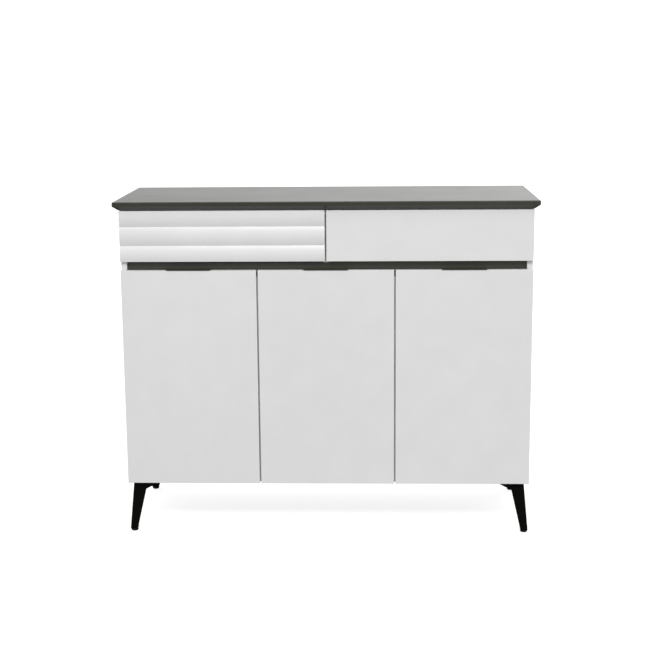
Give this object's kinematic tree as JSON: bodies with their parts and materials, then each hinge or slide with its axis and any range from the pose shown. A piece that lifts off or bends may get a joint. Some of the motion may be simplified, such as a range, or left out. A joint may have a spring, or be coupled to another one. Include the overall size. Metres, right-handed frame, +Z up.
{
  "type": "sideboard buffet",
  "caption": "White sideboard with a dark bevelled top, two drawers (one reeded) above doors with edge pulls and a finger recess, on splayed black steel legs.",
  "frame": {"origin": "centre of the footprint on the floor, under the top's outline", "axes": "+X to the right seen from the front, +Y to the back, +Z up"},
  "size_m": [1.2, 0.45, 0.98],
  "materials": {
    "dark_top": "dark grey laminate, satin",
    "white_front": "white lacquer, satin",
    "white_board": "white melamine board",
    "back_board": "white faced fibreboard",
    "drawer_board": "white melamine board",
    "pull_metal": "dark anodised",
    "leg_metal": "black powder coat",
    "glide_plastic": "black moulded",
    "bumper_rubber": "clear soft",
    "steel": "zinc plated",
    "hinge_steel": "nickel plated",
    "cam_zinc": "cast zinc",
    "beech": "fluted beech"
  },
  "bodies": {
    "carcass": {"back_panel": "back_board", "back_screws": "steel", "bottom_panel": "white_board", "cabinet_slides": "steel", "cam_bolts": "steel", "cam_locks": "cam_zinc", "door_bumpers": "bumper_rubber", "dowels": "beech", "drawer_deck": "white_board", "drawer_divider": "white_board", "finger_rail": "dark_top", "fitting_screws": "steel", "front_stretcher": "white_board", "hinge_arms": "hinge_steel", "hinge_plates": "hinge_steel", "leg_front_left": "leg_metal", "leg_front_right": "leg_metal", "leg_glides": "glide_plastic", "leg_rear_left": "leg_metal", "leg_rear_right": "leg_metal", "panel_screws": "steel", "partition_left": "white_board", "partition_right": "white_board", "rear_stretcher": "white_board", "shelf_left": "white_board", "shelf_middle": "white_board", "shelf_pins": "steel", "shelf_right": "white_board", "side_panel_left": "white_board", "side_panel_right": "white_board", "top_panel": "dark_top"},
    "door_left": {"door_left": "white_front", "pull_left": "pull_metal", "hinge_cups_left": "hinge_steel", "door_screws_left": "steel"},
    "hinge_links_left": {"hinge_links_left": "hinge_steel"},
    "door_middle": {"door_middle": "white_front", "pull_middle": "pull_metal", "hinge_cups_middle": "hinge_steel", "door_screws_middle": "steel"},
    "hinge_links_middle": {"hinge_links_middle": "hinge_steel"},
    "door_right": {"door_right": "white_front", "pull_right": "pull_metal", "hinge_cups_right": "hinge_steel", "door_screws_right": "steel"},
    "hinge_links_right": {"hinge_links_right": "hinge_steel"},
    "drawer_left": {"drawer_front_left": "white_front", "drawer_sides_left": "drawer_board", "drawer_ends_left": "drawer_board", "drawer_bottom_left": "drawer_board", "drawer_slides_left": "steel", "drawer_screws_left": "steel"},
    "slide_middle_left": {"slide_middle_left": "steel"},
    "drawer_right": {"drawer_front_right": "white_front", "drawer_sides_right": "drawer_board", "drawer_ends_right": "drawer_board", "drawer_bottom_right": "drawer_board", "drawer_slides_right": "steel", "drawer_screws_right": "steel"},
    "slide_middle_right": {"slide_middle_right": "steel"}
  },
  "joints": [
    {"name": "left_hinge_link", "type": "hinge", "parent": "carcass", "child": "hinge_links_left", "pos_m": [-0.551, -0.186, 0.469], "axis": [0, 0, -1], "range_deg": [-23.75, 0]},
    {"name": "left_door_swing", "type": "hinge", "parent": "hinge_links_left", "child": "door_left", "pos_m": [-0.575, -0.199, 0.469], "axis": [0, 0, -1], "range_deg": [0, 118.75]},
    {"name": "middle_hinge_link", "type": "hinge", "parent": "carcass", "child": "hinge_links_middle", "pos_m": [-0.1595, -0.186, 0.469], "axis": [0, 0, -1], "range_deg": [-23.75, 0]},
    {"name": "middle_door_swing", "type": "hinge", "parent": "hinge_links_middle", "child": "door_middle", "pos_m": [-0.1835, -0.199, 0.469], "axis": [0, 0, -1], "range_deg": [0, 118.75]},
    {"name": "right_hinge_link", "type": "hinge", "parent": "carcass", "child": "hinge_links_right", "pos_m": [0.551, -0.186, 0.469], "axis": [0, 0, 1], "range_deg": [-23.75, 0]},
    {"name": "right_door_swing", "type": "hinge", "parent": "hinge_links_right", "child": "door_right", "pos_m": [0.575, -0.199, 0.469], "axis": [0, 0, 1], "range_deg": [0, 118.75]},
    {"name": "left_drawer_slide", "type": "slide", "parent": "carcass", "child": "drawer_left", "axis": [0, -1, 0], "range_m": [0, 0.33]},
    {"name": "left_slide_middle", "type": "slide", "parent": "carcass", "child": "slide_middle_left", "axis": [0, -1, 0], "range_m": [0, 0.165]},
    {"name": "right_drawer_slide", "type": "slide", "parent": "carcass", "child": "drawer_right", "axis": [0, -1, 0], "range_m": [0, 0.33]},
    {"name": "right_slide_middle", "type": "slide", "parent": "carcass", "child": "slide_middle_right", "axis": [0, -1, 0], "range_m": [0, 0.165]}
  ],
  "couplings": [
    {"joint": "left_hinge_link", "follows": "left_door_swing", "ratio": -0.2},
    {"joint": "middle_hinge_link", "follows": "middle_door_swing", "ratio": -0.2},
    {"joint": "right_hinge_link", "follows": "right_door_swing", "ratio": -0.2},
    {"joint": "left_slide_middle", "follows": "left_drawer_slide", "ratio": 0.5},
    {"joint": "right_slide_middle", "follows": "right_drawer_slide", "ratio": 0.5}
  ]
}
